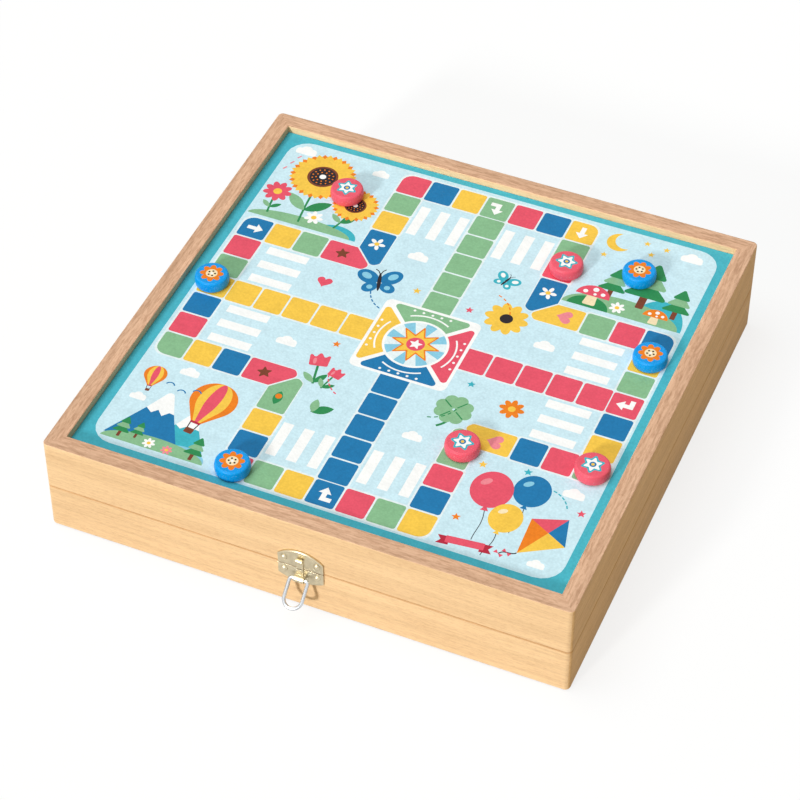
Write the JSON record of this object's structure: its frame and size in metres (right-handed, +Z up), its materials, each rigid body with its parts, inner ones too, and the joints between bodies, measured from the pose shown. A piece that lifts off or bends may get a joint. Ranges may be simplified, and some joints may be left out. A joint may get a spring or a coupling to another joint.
{
  "type": "games compendium box",
  "caption": "Square hinged wooden games box; its recessed lid is a race-game board with discs standing on it, a wire-bail clasp at the front and compartments inside.",
  "frame": {"origin": "centre of the wooden box's underside", "axes": "+Z up; the clasp is on the -Y side, +X to the right when facing it; hinges on the +Y side"},
  "size_m": [0.3, 0.3242, 0.0645],
  "materials": {
    "beech": "clear satin lacquer, fine straight grain",
    "plywood": "sanded birch ply, bare",
    "printed_board": "printed film on a thin sheet, satin",
    "nickel_plate": "bright nickel plate on pressed steel",
    "blue_lacquer": "turned wood, satin blue lacquer",
    "pink_lacquer": "turned wood, satin coral pink lacquer",
    "green_lacquer": "turned wood, satin green lacquer",
    "yellow_lacquer": "turned wood, satin yellow lacquer",
    "die_white": "moulded ivory white plastic, dark pips"
  },
  "bodies": {
    "base": {"base_front_wall": "beech", "base_back_wall": "beech", "base_left_wall": "beech", "base_right_wall": "beech", "base_panel": "plywood", "divider_long": "plywood", "divider_left": "plywood", "divider_right": "plywood", "clasp_base_plate": "nickel_plate", "clasp_base_screws": "nickel_plate", "hinge_left_base_leaf": "nickel_plate", "hinge_right_base_leaf": "nickel_plate", "hinge_left_pin": "nickel_plate", "hinge_right_pin": "nickel_plate", "hinge_base_screws": "nickel_plate"},
    "lid": {"lid_front_wall": "beech", "lid_back_wall": "beech", "lid_left_wall": "beech", "lid_right_wall": "beech", "lid_panel": "plywood", "game_board": "printed_board", "clasp_lid_plate": "nickel_plate", "clasp_lid_screws": "nickel_plate", "hinge_left_lid_leaf": "nickel_plate", "hinge_right_lid_leaf": "nickel_plate", "hinge_lid_screws": "nickel_plate"},
    "bail": {"clasp_bail": "nickel_plate"},
    "disc_blue_1": {"disc_blue_1": "blue_lacquer"},
    "disc_blue_2": {"disc_blue_2": "blue_lacquer"},
    "disc_blue_3": {"disc_blue_3": "blue_lacquer"},
    "disc_blue_4": {"disc_blue_4": "blue_lacquer"},
    "disc_pink_1": {"disc_pink_1": "pink_lacquer"},
    "disc_pink_2": {"disc_pink_2": "pink_lacquer"},
    "disc_pink_3": {"disc_pink_3": "pink_lacquer"},
    "disc_pink_4": {"disc_pink_4": "pink_lacquer"},
    "disc_green_1": {"disc_green_1": "green_lacquer"},
    "disc_green_2": {"disc_green_2": "green_lacquer"},
    "disc_green_3": {"disc_green_3": "green_lacquer"},
    "disc_green_4": {"disc_green_4": "green_lacquer"},
    "disc_yellow_1": {"disc_yellow_1": "yellow_lacquer"},
    "disc_yellow_2": {"disc_yellow_2": "yellow_lacquer"},
    "disc_yellow_3": {"disc_yellow_3": "yellow_lacquer"},
    "disc_yellow_4": {"disc_yellow_4": "yellow_lacquer"},
    "die_1": {"die_1": "die_white"},
    "die_2": {"die_2": "die_white"}
  },
  "joints": [
    {"name": "lid_hinge", "type": "hinge", "parent": "base", "child": "lid", "pos_m": [0, 0.1522, 0.03], "axis": [-1, 0, 0], "range_deg": [0, 105]},
    {"name": "bail_swing", "type": "hinge", "parent": "base", "child": "bail", "pos_m": [0, -0.1531, 0.0237], "axis": [-1, 0, 0], "range_deg": [-48, 132]},
    {"name": "disc_blue_1_lift", "type": "slide", "parent": "lid", "child": "disc_blue_1", "axis": [0, 0, 1], "range_m": [0, 0.03]},
    {"name": "disc_blue_2_lift", "type": "slide", "parent": "lid", "child": "disc_blue_2", "axis": [0, 0, 1], "range_m": [0, 0.03]},
    {"name": "disc_blue_3_lift", "type": "slide", "parent": "lid", "child": "disc_blue_3", "axis": [0, 0, 1], "range_m": [0, 0.03]},
    {"name": "disc_blue_4_lift", "type": "slide", "parent": "lid", "child": "disc_blue_4", "axis": [0, 0, 1], "range_m": [0, 0.03]},
    {"name": "disc_pink_1_lift", "type": "slide", "parent": "lid", "child": "disc_pink_1", "axis": [0, 0, 1], "range_m": [0, 0.03]},
    {"name": "disc_pink_2_lift", "type": "slide", "parent": "lid", "child": "disc_pink_2", "axis": [0, 0, 1], "range_m": [0, 0.03]},
    {"name": "disc_pink_3_lift", "type": "slide", "parent": "lid", "child": "disc_pink_3", "axis": [0, 0, 1], "range_m": [0, 0.03]},
    {"name": "disc_pink_4_lift", "type": "slide", "parent": "lid", "child": "disc_pink_4", "axis": [0, 0, 1], "range_m": [0, 0.03]},
    {"name": "disc_green_1_lift", "type": "slide", "parent": "base", "child": "disc_green_1", "axis": [0, 0, 1], "range_m": [0, 0.03]},
    {"name": "disc_green_2_lift", "type": "slide", "parent": "base", "child": "disc_green_2", "axis": [0, 0, 1], "range_m": [0, 0.03]},
    {"name": "disc_green_3_lift", "type": "slide", "parent": "base", "child": "disc_green_3", "axis": [0, 0, 1], "range_m": [0, 0.03]},
    {"name": "disc_green_4_lift", "type": "slide", "parent": "base", "child": "disc_green_4", "axis": [0, 0, 1], "range_m": [0, 0.03]},
    {"name": "disc_yellow_1_lift", "type": "slide", "parent": "base", "child": "disc_yellow_1", "axis": [0, 0, 1], "range_m": [0, 0.03]},
    {"name": "disc_yellow_2_lift", "type": "slide", "parent": "base", "child": "disc_yellow_2", "axis": [0, 0, 1], "range_m": [0, 0.03]},
    {"name": "disc_yellow_3_lift", "type": "slide", "parent": "base", "child": "disc_yellow_3", "axis": [0, 0, 1], "range_m": [0, 0.03]},
    {"name": "disc_yellow_4_lift", "type": "slide", "parent": "base", "child": "disc_yellow_4", "axis": [0, 0, 1], "range_m": [0, 0.03]},
    {"name": "die_1_lift", "type": "slide", "parent": "base", "child": "die_1", "axis": [0, 0, 1], "range_m": [0, 0.025]},
    {"name": "die_2_lift", "type": "slide", "parent": "base", "child": "die_2", "axis": [0, 0, 1], "range_m": [0, 0.025]}
  ]
}
